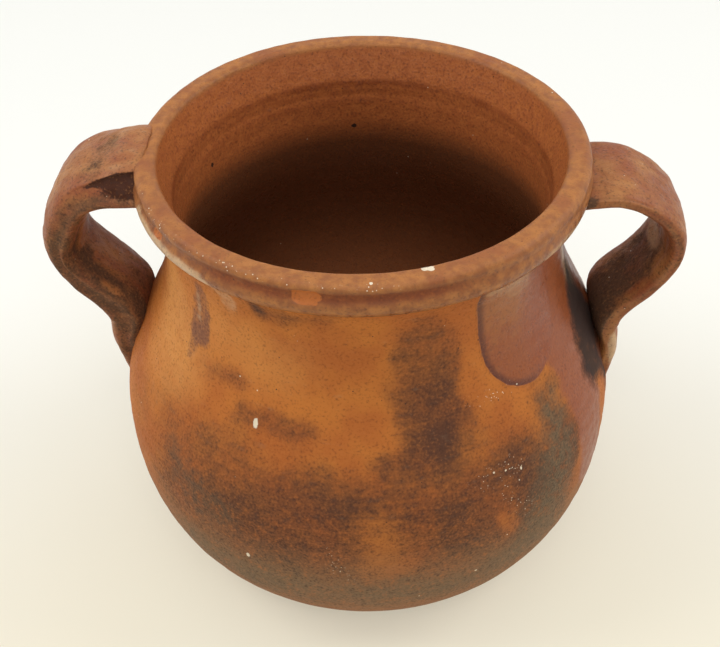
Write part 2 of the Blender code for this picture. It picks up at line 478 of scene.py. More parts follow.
RING_PITCH = 5.5 * MM
RING_RELIEF = 0.06 * MM
INSIDE_RING_PITCH = 7.5 * MM
INSIDE_RING_RELIEF = 0.1 * MM
SWELL_RELIEF = 0.3 * MM
SWELL_SIZE = 60 * MM
SWELL_STRETCH = (1, 1, 0.6)
SWELL_OCTAVES = 2
GRAIN_RELIEF = 0.09 * MM
GRAIN_SIZE = 5 * MM
RUN_RELIEF = 0.25 * MM
RUN_BEAD = 2 * MM
CHIP_RELIEF = 0.7 * MM
GROOVE_RELIEF = 0.5 * MM
GROOVE_FILL = 0.4 * MM
GROOVE_TINT = 0.4
LIP_WAVE = 0.35 * MM

# Waves of the lip: the share of each, its count round the pot and its phase
LIP_WAVES = ((0.6, 2, 0.7), (0.4, 3, 2.1))

# Ragged edges of the marks, and the shift that makes two noises unlike
WARP_SIZE = 14 * MM
WARP_REACH = 3.2 * MM
FRAY_SIZE = 3.5 * MM
FRAY_REACH = 0.5 * MM
RUN_FRAY = 0.4
MARK_FRAY = 2
NOISE_SHIFT = np.array([0.31, 0.17, 0.53])

# Stretches of azimuth over which the rim, its painted glints and the thick edge of the glaze change
EDGE_FADE = (45, 56)
EDGE_BACK = 90
RED_START = (-42, -30)
RED_END = (14, 34)
FILL_START = (20, 44)
FILL_END = (96, 130)
GLINT_START = (-80, -62)
GLINT_END = (2, 14)
CREST_HIGH = 0.15 * MM
CREST_LOW = 1.7 * MM


def turned_wall():
    """The profile of the wall, from its floor over the rim to its base, and its points all the way round."""
    inner = inside_profile()
    profile = np.vstack([inner, outside_profile()])
    outer = np.arange(len(profile)) >= len(inner)
    azimuth = np.linspace(0, 360, TURNS, endpoint=False)
    columns = (azimuth, profile[:, 1:], profile[:, :1], outer[:, None])
    return profile, Wall(*(np.broadcast_to(column, (len(profile), TURNS)) for column in columns))


def shifted_noise(points, size, shifts):
    """A noise for each shift, unlike one another."""
    return np.array([rough(points + shift * NOISE_SHIFT, size) for shift in shifts])


def glaze_edge(turned):
    """How far the run of glaze keeps its thick edge: it thins out towards the right handle."""
    return 1 - smooth_step(turned, *EDGE_FADE) * (turned < EDGE_BACK)


def wall_relief(wall, grain, run, groove):
    """How far the wall stands out of its profile: throwing rings, grain, thick glaze and the groove."""
    turned = near_turn(wall.azimuth)
    spiral = 2 * math.pi * wall.height + np.radians(wall.azimuth) * RING_PITCH
    outer_rings = RING_RELIEF * np.sin(spiral / RING_PITCH) * (1 + grain)
    inner_rings = INSIDE_RING_RELIEF * np.sin(2 * math.pi * wall.height / INSIDE_RING_PITCH)
    below_rim = smooth_step(wall.height, HEIGHT - FOLD_DROP, HEIGHT - NECK_DROP)
    relief = np.where(wall.outer, outer_rings, inner_rings) * below_rim
    relief = relief + GRAIN_RELIEF * grain * smooth_step(wall.height, 0, BELLY_HEIGHT)
    thick = np.clip(run / RUN_BEAD, 0, 1)
    relief = relief + RUN_RELIEF * thick * (2 - thick) * (wall.height < GLAZE_EDGE) * glaze_edge(turned)
    filled = between(turned, FILL_START, FILL_END)
    return relief + groove * (GROOVE_FILL * filled - GROOVE_RELIEF * (1 - filled))


def make_vessel():
    profile, wall = turned_wall()
    turned = near_turn(wall.azimuth)
    points = round_points(wall.radius, wall.azimuth, wall.height)
    warp = WARP_REACH * shifted_noise(points, WARP_SIZE, (0, 1))
    fray = FRAY_REACH * shifted_noise(points, FRAY_SIZE, (2, 3))
    grain = rough(points, GRAIN_SIZE)
    swell = rough(points * SWELL_STRETCH, SWELL_SIZE, SWELL_OCTAVES)

    run = np.max([depth_in(wall, streak, RUN_FRAY * fray) for streak in RUNS], axis=0)
    glaze = np.where(wall.outer, np.maximum(run, wall.height - GLAZE_EDGE + fray[1]), WALL)
    chip = soft_marks(wall, CHIPS, fray)
    on_rim = wall.outer & (wall.radius > MOUTH_RADIUS) & (wall.height > GLAZE_EDGE)
    groove = hump(HEIGHT - GROOVE_DROP - wall.height, GROOVE_SIZE) * on_rim

    relief = wall_relief(wall, grain, run, groove) - CHIP_RELIEF * chip
    standing = smooth_step(wall.height, 0, BELLY_HEIGHT)
    turn = np.radians(wall.azimuth)
    wave = LIP_WAVE * sum(share * np.sin(count * turn + phase) for share, count, phase in LIP_WAVES)
    normals = bend_normals(profile)[:, None, :]
    radius = wall.radius + relief * normals[..., 0] + SWELL_RELIEF * swell * standing
    height = wall.height + (relief * normals[..., 1] + wave) * standing
    rings = round_points(radius, wall.azimuth, height)

    mesh = skin("pot_wall", rings, (0, 0, FLOOR), (0, 0, 0))
    add_field(mesh, "glaze", glaze / MM, (WALL / MM, -WALL / MM))
    add_field(mesh, "run", run / MM)
    for name, streaks in BROAD_MARKS.items():
        add_field(mesh, name, soft_marks(wall, streaks, warp))
    for name, streaks in FINE_MARKS.items():
        add_field(mesh, name, soft_marks(wall, streaks, MARK_FRAY * fray))
    add_field(mesh, "chip", chip)
    red = between(turned, RED_START, RED_END)
    add_field(mesh, "groove", groove * (GROOVE_TINT + (1 - GROOVE_TINT) * red))
    add_field(mesh, "edge", glaze_edge(turned))
    # Painted highlights: white glints along the crest of the rim, on the front and left. The scratches on the
    # belly are real.
    crest = on_rim & (wall.height > HEIGHT - CREST_LOW) & (wall.height < HEIGHT - CREST_HIGH)
    glint_and_scratch = crest * between(turned, GLINT_START, GLINT_END)
    add_field(mesh, "glint_and_scratch", glint_and_scratch + soft_marks(wall, SCRATCHES, fray))
    add_field(mesh, "inside", np.where(wall.outer, 0.0, 1.0), (1.0, 0.0))
    put_piece(mesh, "vessel", clay_material())


# Straps


class Patch(NamedTuple):
    """A mark on a strap: its place along it (0 to 1) and round it (degrees), its half-sizes and strength.

    Round the strap, 0 is its outer face, 90 its side towards the front and 180 its face towards the pot.
    """

    along: float
    around: float
    long: float
    wide: float
    strength: float


class Crease(NamedTuple):
    """A groove along a strap: its start and end, its place round the strap, its depth and half-width."""

    start: float
    end: float
    around: float
    depth: float
    wide: float


class Strap(NamedTuple):
    """A handle: its centre line leaves the rim, turns at the reach and lands on the belly.

    Each bend is (distance out from the belly, drop), and the landing and the foot, where the strap lies
    along the wall, are (distance out from the wall, drop). The front is the sign of the side towards -Y.
    The hollow is the depth of the groove along both sides. At the root, the cut sets the upper front edge
    back, the notch hollows the side below it, and the lift takes the strap up over the lip. The pinch thins
    the inner side of the bend, and the heel fills the outer side above the foot.
    """

    azimuth: float
    front: int
    root_drop: float
    bends: tuple
    landing: tuple
    foot: tuple
    tail_drop: float
    root_width: float
    tail_width: float
    root_thickness: float
    tail_thickness: float
    hollow: float
    root_cut: float
    notch: float
    pinch: float
    heel: float
    lift: float
    creases: tuple
    soot: tuple
    pool: tuple
    # Patches of painted sheen, where the glaze of the strap catches the light
    drip_and_sheen: tuple


LEFT = Strap(
    azimuth=-90.5,
    front=1,
    root_drop=8.5 * MM,
    bends=((-0.3 * MM, 10.8 * MM), (9.1 * MM, 20.4 * MM), (12.1 * MM, 33.4 * MM), (7.5 * MM, 45.1 * MM)),
    landing=(5.8 * MM, 60.1 * MM),
    foot=(1.6 * MM, 72.3 * MM),
    tail_drop=98 * MM,
    root_width=37.4 * MM,
    tail_width=23.3 * MM,
    root_thickness=13.6 * MM,
    tail_thickness=12.3 * MM,
    hollow=1.1 * MM,
    root_cut=3 * MM,
    notch=2.2 * MM,
    pinch=2.8 * MM,
    heel=2.0 * MM,
    lift=3.0 * MM,
    creases=(Crease(0.27, 0.66, 150, 0.5 * MM, 8),),
    soot=(
        Patch(0.62, 104, 0.42, 52, 0.76),
        Patch(0.71, 175, 0.06, 50, 0.5),
        Patch(0.515, 167, 0.03, 14, 0.6),
        Patch(0.5, 100, 0.14, 8, -0.25),
        Patch(0.636, 129, 0.025, 10, -0.5),
        Patch(0.112, 2, 0.025, 26, 0.4),
        Patch(0.126, 32, 0.025, 20, 0.4),
        Patch(0.09, 100, 0.09, 16, 0.45),
    ),
    pool=(Patch(0.045, 73, 0.06, 19, 1.3), Patch(0.1, 64, 0.035, 9, 1.2)),
    # Painted highlight where the root meets the rim
    drip_and_sheen=(Patch(0.07, 20, 0.03, 30, 0.3),),
)
RIGHT = Strap(
    azimuth=90.8,
    front=-1,
    root_drop=13.9 * MM,
    bends=((-4.2 * MM, 12.2 * MM), (10.7 * MM, 21.4 * MM), (14.2 * MM, 33.6 * MM), (7.9 * MM, 46.8 * MM)),
    landing=(5.5 * MM, 60.6 * MM),
    foot=(1.4 * MM, 74.1 * MM),
    tail_drop=97 * MM,
    root_width=33.6 * MM,
    tail_width=27.3 * MM,
    root_thickness=6.7 * MM,
    tail_thickness=7.3 * MM,
    hollow=0.4 * MM,
    root_cut=0.3 * MM,
    notch=0.0,
    pinch=0.0,
    heel=2.4 * MM,
    lift=0.0,
    creases=(Crease(0.05, 0.23, 68, 0.3 * MM, 4), Crease(0.3, 0.74, 146, 0.3 * MM, 6)),
    soot=(
        Patch(0.58, 182, 0.2, 34, 0.75),
        Patch(0.73, 150, 0.09, 55, 0.9),
        Patch(0.056, 76, 0.026, 22, 1.2),
        Patch(0.42, 100, 0.3, 34, 0.35),
    ),
    pool=(),
    # Painted sheen on the inner face at the bend and on the outer side of the tail
    drip_and_sheen=(Patch(0.465, 190, 0.05, 24, 1.0), Patch(0.83, 72, 0.06, 22, 1.0)),
)
ROOT_BURY = 4.5 * MM
TAIL_BURY = 2.5 * MM
STRAP_TAPER = 1.1
STRAP_SQUARE = 2.7
HOLLOW_SHARE = 0.35
HOLLOW_EDGE = 8
ROOT_SHARE = 0.24
STRAP_GRAIN = 0.3 * MM
STRAP_SWELL = 0.25 * MM
STRAP_SWELL_SIZE = 22 * MM
STRAP_WARP = 0.25
STRAP_WARP_SIZE = 2 * GRAIN_SIZE
PATCH_EDGE = (1.4, 0.6)
TUCK = 2.5 * MM
LIFT_START = 60.5 * MM
LIFT_END = 84 * MM
BEND_SHARE = 0.48
BEND_LENGTH = 0.1
HEEL_SHARE = 0.725
HEEL_LENGTH = 0.07
CREASE_FADE = 0.04
# Depth of a crease at which the painted shade in it would be full
CREASE_SHADE_FULL = 0.9 * MM

# Stretches over which a strap's section changes: from its inner face (-1) to its outer one (1), from its far
# side (-1) to its front (1), or in degrees round it
CUT_RISE = (-0.5, 0.5)
PINCH_RISE = (0.2, -0.6)
HEEL_RISE = (-0.2, 0.6)
LIFT_SIDE = (-1.0, -0.4)
NOTCH_START = (54, 64)
NOTCH_END = (72, 94)


def rim_radius(height):
    """The outer radius of the wall and the rim at any height."""
    profile = outside_profile()[:-BASE_STEPS]
    order = np.argsort(profile[:, 1], kind="stable")
    return np.interp(height, profile[order, 1], profile[order, 0])


def smooth_through(stations, steps):
    """A Catmull-Rom curve through the stations."""
    padded = np.vstack([2 * stations[0] - stations[1], stations, 2 * stations[-1] - stations[-2]])
    share = np.linspace(0, 1, steps, endpoint=False)[:, None]
    points = []
    for before, start, end, after in zip(padded, padded[1:], padded[2:], padded[3:]):
        bend = 2 * before - 5 * start + 4 * end - after
        curl = 3 * start - before - 3 * end + after
        points.append((2 * start + (end - before) * share + bend * share**2 + curl * share**3) / 2)
    return np.vstack(points + [stations[-1:]])


def centre_line(strap):
    """Points (distance from the axis, height, width, thickness) from the rim to the belly."""
    path = [(NECK_RADIUS - ROOT_BURY, strap.root_drop)]
    path += [(BELLY_RADIUS + out, drop) for out, drop in strap.bends]
    tail = (-strap.tail_thickness / 2 - TAIL_BURY, strap.tail_drop)
    for out, drop in (strap.landing, strap.foot, tail):
        path.append((float(wall_radius(HEIGHT - drop)) + out, drop))
    stations = []
    for index, (distance, drop) in enumerate(path):
        share = (index / (len(path) - 1)) ** STRAP_TAPER
        width = strap.root_width + (strap.tail_width - strap.root_width) * share
        thickness = strap.root_thickness + (strap.tail_thickness - strap.root_thickness) * share
        stations.append((distance, HEIGHT - drop, width, thickness))
    return smooth_through(np.array(stations), STRAP_STEPS)


def corner(value):
    """A sine or cosine drawn towards the corners of a section."""
    return np.sign(value) * np.abs(value) ** (2 / STRAP_SQUARE)


def strap_marks(along, around, patches, warp):
    """The sum of patches on a strap, each fading out across its edge."""
    total = np.zeros(around.shape)
    for patch in patches:
        turn = near_turn(around - patch.around)
        reach = np.hypot((along - patch.along) / patch.long, turn / patch.wide) + warp
        total += patch.strength * smooth_step(reach, *PATCH_EDGE)
    return total


def crease_depth(strap, along, around):
    """How deep the creases along a strap are."""
    total = np.zeros(around.shape)
    for crease in strap.creases:
        start = (crease.start, crease.start + CREASE_FADE)
        end = (crease.end - CREASE_FADE, crease.end)
        total += crease.depth * between(along, start, end) * hump(around - crease.around, crease.wide)
    return total


def side_depth(strap, along, around, out, across):
    """How far the sides of a strap are set in: by their hollow, and by the cut and the notch at the root."""
    at_root = smooth_step(along, ROOT_SHARE, 0)
    to_front = across * strap.front > 0
    hollow = strap.hollow * hump(out, HOLLOW_SHARE) * np.abs(across) ** HOLLOW_EDGE
    cut = strap.root_cut * at_root * to_front * smooth_step(out, *CUT_RISE) * np.abs(across)
    return hollow + cut + strap.notch * at_root * between(around, NOTCH_START, NOTCH_END)


def bend_depth(strap, along, out):
    """How far the faces of a strap are moved out: the inner one at the pinch, the outer one at the heel."""
    pinch = strap.pinch * hump(along - BEND_SHARE, BEND_LENGTH) * smooth_step(out, *PINCH_RISE)
    return pinch + strap.heel * hump(along - HEEL_SHARE, HEEL_LENGTH) * smooth_step(out, *HEEL_RISE)


def root_lift(strap, reach, out, across):
    """How far the upper face of a strap goes up over the lip, but not at its far side."""
    over_rim = between(reach, (LIFT_START, ROLL_CENTRE), (RIM_RADIUS, LIFT_END))
    near = smooth_step(across * strap.front, *LIFT_SIDE)
    return strap.lift * near * over_rim * np.sqrt(np.maximum(out, 0))


def make_strap(name, node, strap):
    line = centre_line(strap)
    distance, height, width, thickness = line.T[..., None]
    heading = np.gradient(line[:, :2], axis=0)
    heading /= np.linalg.norm(heading, axis=1)[:, None]
    away = -heading[:, 1:]
    up = heading[:, :1]
    angle = np.linspace(0, 2 * math.pi, STRAP_SIDES, endpoint=False)[None, :]
    along = np.linspace(0, 1, len(line))[:, None]
    around = np.degrees(angle + 0 * along)
    out = corner(np.cos(angle))
    across = corner(np.sin(angle)) * strap.front

    creased = crease_depth(strap, along, around)
    set_in = np.sign(across) * side_depth(strap, along, around, out, across)
    side = across * (width / 2) - set_in - creased * across
    depth = out * (thickness / 2 - creased) + bend_depth(strap, along, out)
    flat = np.stack([distance + away * depth, side, height + up * depth], axis=-1)
    swell = STRAP_SWELL * rough(flat, STRAP_SWELL_SIZE, SWELL_OCTAVES)
    swell = swell + STRAP_GRAIN * rough(flat, GRAIN_SIZE)
    reach = flat[..., 0] + away * out * swell
    rise = flat[..., 2] + up * out * swell
    rise = rise + root_lift(strap, reach, out, across)
    stretch = np.maximum(1.0, (rim_radius(rise) - TUCK) / np.hypot(reach, side))
    turn = math.radians(strap.azimuth - 90)
    x = stretch * (reach * math.cos(turn) - side * math.sin(turn))
    y = stretch * (reach * math.sin(turn) + side * math.cos(turn))
    rings = np.stack([x, y, rise], axis=-1)

    mesh = skin(name, rings, rings[0].mean(0), rings[-1].mean(0))
    warp = STRAP_WARP * rough(flat, STRAP_WARP_SIZE)
    for field, patches in {"soot": strap.soot, "pool": strap.pool, "drip_and_sheen": strap.drip_and_sheen}.items():
        add_field(mesh, field, strap_marks(along, around, patches, warp))
    # Painted shade: the strap darkens along its creases, more where a crease is deeper
    add_field(mesh, "crease", creased / CREASE_SHADE_FULL)
    add_field(mesh, "along", along + 0 * around, (0.0, 1.0))
    add_field(mesh, "around", near_turn(around))
    put_piece(mesh, node, strap_material(name + "_look"))


# Materials


def colour(red, green, blue):
    """A linear colour from its display values of 0 to 255, by the sRGB rule."""
    shares = [value / 255 for value in (red, green, blue)]
    return tuple(s / 12.92 if s <= 0.04045 else ((s + 0.055) / 1.055) ** 2.4 for s in shares) + (1.0,)


CLAY_OCHRE = colour(187, 111, 45)
CLAY_ORANGE = colour(171, 95, 39)
CLAY_LIT_AND_PALE = colour(212, 146, 76)
CLAY_DUST = colour(142, 101, 68)
SOOT_BROWN = colour(74, 46, 34)
SOOT_OLIVE = colour(115, 93, 68)
SOOT_ASH = colour(101, 90, 68)
STAIN_BLACK = colour(41, 34, 31)
SMEAR_MAUVE = colour(109, 70, 56)
DRIP_AND_SHEEN_GREY = colour(206, 173, 134)
GLAZE_TAN = colour(171, 111, 60)
GLAZE_MAUVE = colour(136, 82, 47)
GLAZE_RED = colour(115, 51, 25)
GLAZE_PURPLE = colour(80, 43, 37)
GLAZE_EDGE_AND_SHADOW_LINE = colour(68, 39, 27)
RUN_BROWN = colour(154, 93, 49)
WASH_RED = colour(140, 74, 43)
INSIDE_BROWN = colour(178, 105, 57)
INSIDE_RED = colour(156, 85, 45)
INSIDE_CREASE = colour(107, 47, 23)
INSIDE_DEEP = colour(107, 64, 39)
INSIDE_FLOOR = colour(162, 103, 66)
CHIP_ORANGE = colour(195, 115, 58)
SPECK_AND_GLINT_WHITE = colour(226, 212, 186)
SPECK_DARK = colour(60, 41, 33)
STRAP_RED = colour(140, 78, 47)
STRAP_TAN = colour(173, 118, 68)
STRAP_SOOT_AND_SHADE = colour(90, 64, 46)
STRAP_POOL = colour(64, 33, 21)
CLAY_GLOSS = 0.22
STAIN_ROUGHNESS = 0.85

# Clouds that break up the looks: the size of their swells, their detail and their stretch
GRAIN_CLOUD = (0.8 * MM, 4.0)
FINE_CLOUD = (3 * MM, 5.0)
BROAD_CLOUD = (16 * MM, 5.0)
LINE_CLOUD = (9 * MM, 4.0, (0.35, 0.35, 6.0))
STRAP_CLOUD = (14 * MM, 4.0)

# Noise drawn out along a strap: its counts along it and to a degree round it, its scale and detail
STREAK_COUNTS = (5.0, 0.02)
STREAK_SCALE = 3.0
STREAK_DETAIL = 4.0

# Specks: the size of a cell, the share of it that is filled, and the limits of the cloud that thins them
DARK_SPECKS = (2.2 * MM, 0.12, 0.54, 0.64)
WHITE_SPECKS = (5.2 * MM, 0.055, 0.56, 0.62)
GLINT_SPECKS = (1.0 * MM, 0.22, 0.4, 0.52)
STRAP_SPECKS = (3.4 * MM, 0.08, 0.52, 0.6)
SPECK_CORE = 0.6
SPECK_SPREAD = 2.7
NICK_CLOUD = 1 * MM
NICK_CORE = 1.3
NICK_EDGE = 1.6

# Bands of height over which a look of the wall sets in
DUST_BAND = (84 * MM, 52 * MM)
DUST_RAGGED = 20 * MM
FOOT_BAND = (46 * MM, 30 * MM)
OLIVE_BAND = (62 * MM, 36 * MM)
FLECK_BAND = (84 * MM, 56 * MM)
LIP_BAND = (HEIGHT - 2.4 * MM, HEIGHT - 0.5 * MM)
POUR_BAND = (104 * MM, 136 * MM)
RUN_BAND = (GLAZE_EDGE, GLAZE_EDGE - 3 * MM)
THROAT_BAND = (126 * MM, 111 * MM)
INSIDE_FLOOR_BAND = (70 * MM, 25 * MM)

# Dark rings inside the mouth: the height and share of each, and where it starts, is full, fades and ends
INSIDE_RINGS = ((137 * MM, 0.6), (134 * MM, 0.3), (130.5 * MM, 0.35))
RING_STEPS = (-1 * MM, 0.6 * MM, 1.4 * MM, 3 * MM)
RING_WAVE = 1.5 * MM
RING_RAGGED = 1 * MM

# Edges of the glaze, in millimetres inside it: the dark line in a run, and the thin one along the rim, which
# is partly the edge of the glaze and partly painted shadow under the band
RUN_LINE = (0.0, 0.4, 0.6, 3.2)
RIM_EDGE_AND_SHADOW = (-0.7, -0.1, 0.1, 0.7)
RUN_CLEAR = (-1.0, 0.0)
GLAZE_RAGGED = 0.8
GLAZE_SOFT = (-0.15, 0.2)
WALL_BUMP = 0.16 * MM
STRAP_BUMP = 0.28 * MM


class Graph:
    """A material's nodes, with short calls for the kinds that are used here."""

    def __init__(self, name):
        self.material = bpy.data.materials.new(name)
        self.material.use_nodes = True
        self.tree = self.material.node_tree
        self.shader = self.tree.nodes["Principled BSDF"]
        self.shader.inputs["Specular IOR Level"].default_value = CLAY_GLOSS
        self.place = self.add("ShaderNodeTexCoord").outputs["Object"]

    def add(self, kind):
        return self.tree.nodes.new(kind)

    def feed(self, socket, value):
        """Links an output to a socket, or sets the socket to a value."""
        if isinstance(value, bpy.types.NodeSocket):
            self.tree.links.new(value, socket)
        else:
            socket.default_value = value

    def field(self, name):
        node = self.add("ShaderNodeAttribute")
        node.attribute_name = name
        return node.outputs["Fac"]

    def height(self):
        node = self.add("ShaderNodeSeparateXYZ")
        self.feed(node.inputs["Vector"], self.place)
        return node.outputs["Z"]

    def math(self, kind, first, second, node_kind="ShaderNodeMath"):
        node = self.add(node_kind)
        node.operation = kind
        self.feed(node.inputs[0], first)
        self.feed(node.inputs[1], second)
        return next(s for s in node.outputs if s.enabled)

    def vector(self, kind, first, second=(0, 0, 0)):
        return self.math(kind, first, second, "ShaderNodeVectorMath")

    def plus(self, first, *others):
        for other in others:
            first = self.math("ADD", first, other)
        return first

    def times(self, first, second):
        return self.math("MULTIPLY", first, second)

    def weigh(self, *parts):
        """The sum of some noises, each times its weight."""
        return self.plus(*(self.times(part, weight) for part, weight in parts))

    def frayed(self, name, weight, *noises, level=1.0):
        """A field with its edge broken up by a sum of noises, less their usual level."""
        return self.plus(self.field(name), self.times(self.plus(*noises, -level), weight))

    def ramp(self, value, low, high, start=0.0, end=1.0):
        """A smooth change from start to end as a value goes from low to high."""
        node = self.add("ShaderNodeMapRange")
        node.interpolation_type = "SMOOTHSTEP"
        limits = {"Value": value, "From Min": low, "From Max": high, "To Min": start, "To Max": end}
        for socket, limit in limits.items():
            self.feed(node.inputs[socket], limit)
        return node.outputs["Result"]

    def band(self, value, start, full, fade, end):
        """1 from full to fade, and 0 before the start and past the end."""
        return self.times(self.ramp(value, start, full), self.ramp(value, fade, end, 1.0, 0.0))

    def mix(self, share, first, second, kind="RGBA"):
        """A mix of two colours, or of two numbers with the kind FLOAT."""
        node = self.add("ShaderNodeMix")
        node.data_type = kind
        sockets = [s for s in node.inputs if s.enabled]
        for socket, value in zip(sockets, (share, first, second)):
            self.feed(socket, value)
        return next(s for s in node.outputs if s.enabled)

    def noise(self, place, scale, detail):
        node = self.add("ShaderNodeTexNoise")
        self.feed(node.inputs["Vector"], place)
        node.inputs["Scale"].default_value = scale
        node.inputs["Detail"].default_value = detail
        return node.outputs["Fac"]

    def cloud(self, size, detail=3.0, stretch=(1, 1, 1)):
        """Noise of 0 to 1 with swells of the given size."""
        moved = self.add("ShaderNodeMapping")
        self.feed(moved.inputs["Vector"], self.place)
        moved.inputs["Scale"].default_value = stretch
        return self.noise(moved.outputs["Vector"], 1 / size, detail)

    def streaks(self, along, around):
        """Noise of 0 to 1 drawn out along a strap, with counts along it and to a degree round it."""
        node = self.add("ShaderNodeCombineXYZ")
        self.feed(node.inputs["X"], self.times(self.field("along"), along))
        self.feed(node.inputs["Y"], self.times(self.field("around"), around))
        return self.noise(node.outputs["Vector"], STREAK_SCALE, STREAK_DETAIL)

    def specks(self, size, share, low, high):
        """Round specks, at most the given share of a cell's size, where a cloud is high."""
        node = self.add("ShaderNodeTexVoronoi")
        self.feed(node.inputs["Vector"], self.place)
        node.inputs["Scale"].default_value = 1 / size
        spot = self.ramp(node.outputs["Distance"], share * SPECK_CORE, share, 1.0, 0.0)
        return self.times(spot, self.ramp(self.cloud(size * SPECK_SPREAD), low, high))

    def spot(self, nick):
        """1 within a nick's size of its middle, with a ragged edge."""
        middle = round_points(nick.radius, nick.azimuth, nick.height)
        away = self.vector("SUBTRACT", self.place, middle)
        away = self.vector("DIVIDE", away, (1, 1, nick.tall))
        ragged = self.plus(self.vector("LENGTH", away), self.times(self.cloud(NICK_CLOUD), nick.size))
        return self.ramp(ragged, NICK_CORE * nick.size, NICK_EDGE * nick.size, 1.0, 0.0)

    def finish(self, look, roughness, relief, distance):
        self.feed(self.shader.inputs["Base Color"], look)
        self.feed(self.shader.inputs["Roughness"], roughness)
        node = self.add("ShaderNodeBump")
        node.inputs["Distance"].default_value = distance
        self.feed(node.inputs["Height"], relief)
        self.feed(self.shader.inputs["Normal"], node.outputs["Normal"])
        return self.material


class Clouds(NamedTuple):
    """The noises of 0 to 1 that break up the look of the wall, and the height."""

    grain: bpy.types.NodeSocket
    fine: bpy.types.NodeSocket
    broad: bpy.types.NodeSocket
    lines: bpy.types.NodeSocket
    up: bpy.types.NodeSocket


# In the looks below, the bare limits of a ramp are values of a noise or a field, and its ends are shares


def bare_clay(g, clouds):
    """Orange clay, lighter on the left shoulder as painted light, dusty lower down, with soot that is brown
    above and olive below.
    """
    grain, fine, broad, lines, up = clouds
    clay = g.mix(g.ramp(broad, 0.35, 0.65), CLAY_ORANGE, CLAY_OCHRE)
    # Painted light: lighter clay where the key lamp falls on the shoulder
    clay = g.mix(g.times(g.field("lit_and_pale_clay"), g.ramp(fine, 0.2, 0.6, 0.5, 0.9)), clay, CLAY_LIT_AND_PALE)
    dusty = g.plus(up, g.times(fine, DUST_RAGGED), g.times(lines, DUST_RAGGED))
    clay = g.mix(g.ramp(dusty, *DUST_BAND, 0.0, 0.75), clay, CLAY_DUST)
    spread = g.field("soot")
    foot = g.ramp(up, *FOOT_BAND, 0.0, 0.28)
    uneven = g.plus(g.weigh((fine, 0.6), (grain, 0.3), (lines, 0.35), (broad, 0.8)), -1.02)
    soot = g.plus(spread, foot, g.times(uneven, g.ramp(spread, 0.0, 0.4, 0.25, 1.0)))
    sooty = g.mix(g.ramp(up, *OLIVE_BAND), SOOT_BROWN, SOOT_OLIVE)
    sooty = g.mix(g.times(g.field("ash"), g.ramp(fine, 0.3, 0.6, 0.35, 1.0)), sooty, SOOT_ASH)
    clay = g.mix(g.ramp(soot, 0.0, 1.1, 0.0, 0.95), clay, sooty)
    fleck = g.weigh((fine, 0.45), (grain, 0.55))
    dirty = g.times(g.ramp(g.plus(spread, foot), 0.15, 0.7), g.ramp(up, *FLECK_BAND, 0.15, 1.0))
    clay = g.mix(g.times(dirty, g.ramp(fleck, 0.48, 0.34, 0.0, 0.32)), clay, CLAY_ORANGE)
    return g.mix(g.times(dirty, g.ramp(fleck, 0.51, 0.64, 0.0, 0.4)), clay, SOOT_BROWN)


def rim_glaze(g, clouds, run):
    """Brown glaze, red in the groove, and poured below the rim in runs with a dark line along the edge."""
    fine = clouds.fine
    glaze = g.mix(g.ramp(fine, 0.35, 0.7), GLAZE_MAUVE, GLAZE_TAN)
    red = g.ramp(g.plus(g.field("groove"), g.times(fine, 0.5)), 0.4, 1.25, 0.0, 0.72)
    glaze = g.mix(red, glaze, GLAZE_RED)
    edge = g.field("edge")
    thick = g.plus(clouds.broad, fine, g.ramp(clouds.up, *POUR_BAND, -0.2, 0.5))
    poured = g.mix(g.times(edge, g.ramp(thick, 0.8, 1.5, 0.25, 1.0)), WASH_RED, RUN_BROWN)
    below = g.ramp(clouds.up, *RUN_BAND)
    glaze = g.mix(below, glaze, poured)
    line = g.times(g.band(run, *RUN_LINE), g.times(edge, below))
    return g.mix(g.times(line, 0.75), glaze, GLAZE_PURPLE)


def inside_glaze(g, clouds):
    """Red-brown glaze with dark rings under the lip, a shaded throat and a paler floor."""
    grain, fine, broad, lines, up = clouds
    deep = g.mix(g.ramp(g.weigh((fine, 0.5), (grain, 0.5)), 0.3, 0.7), INSIDE_BROWN, INSIDE_RED)
    wavy = g.plus(up, g.times(lines, RING_WAVE), g.times(fine, RING_RAGGED))
    for ring, share in INSIDE_RINGS:
        ridge = g.band(wavy, *(ring + step for step in RING_STEPS))
        deep = g.mix(g.times(ridge, g.ramp(broad, 0.3, 0.6, 0.3 * share, share)), deep, INSIDE_CREASE)
    deep = g.mix(g.ramp(up, *THROAT_BAND), deep, INSIDE_DEEP)
    return g.mix(g.ramp(up, *INSIDE_FLOOR_BAND), deep, INSIDE_FLOOR)


def lip_glaze(g, clouds):
    """Worn, spotty glaze on the flat of the lip."""
    spotty = g.weigh((clouds.fine, 0.6), (clouds.grain, 0.4))
    glaze = g.mix(g.ramp(spotty, 0.36, 0.6, 0.1, 1.0), GLAZE_MAUVE, GLAZE_TAN)
    return g.mix(g.ramp(clouds.broad, 0.48, 0.66, 0.0, 0.55), glaze, STRAP_RED)


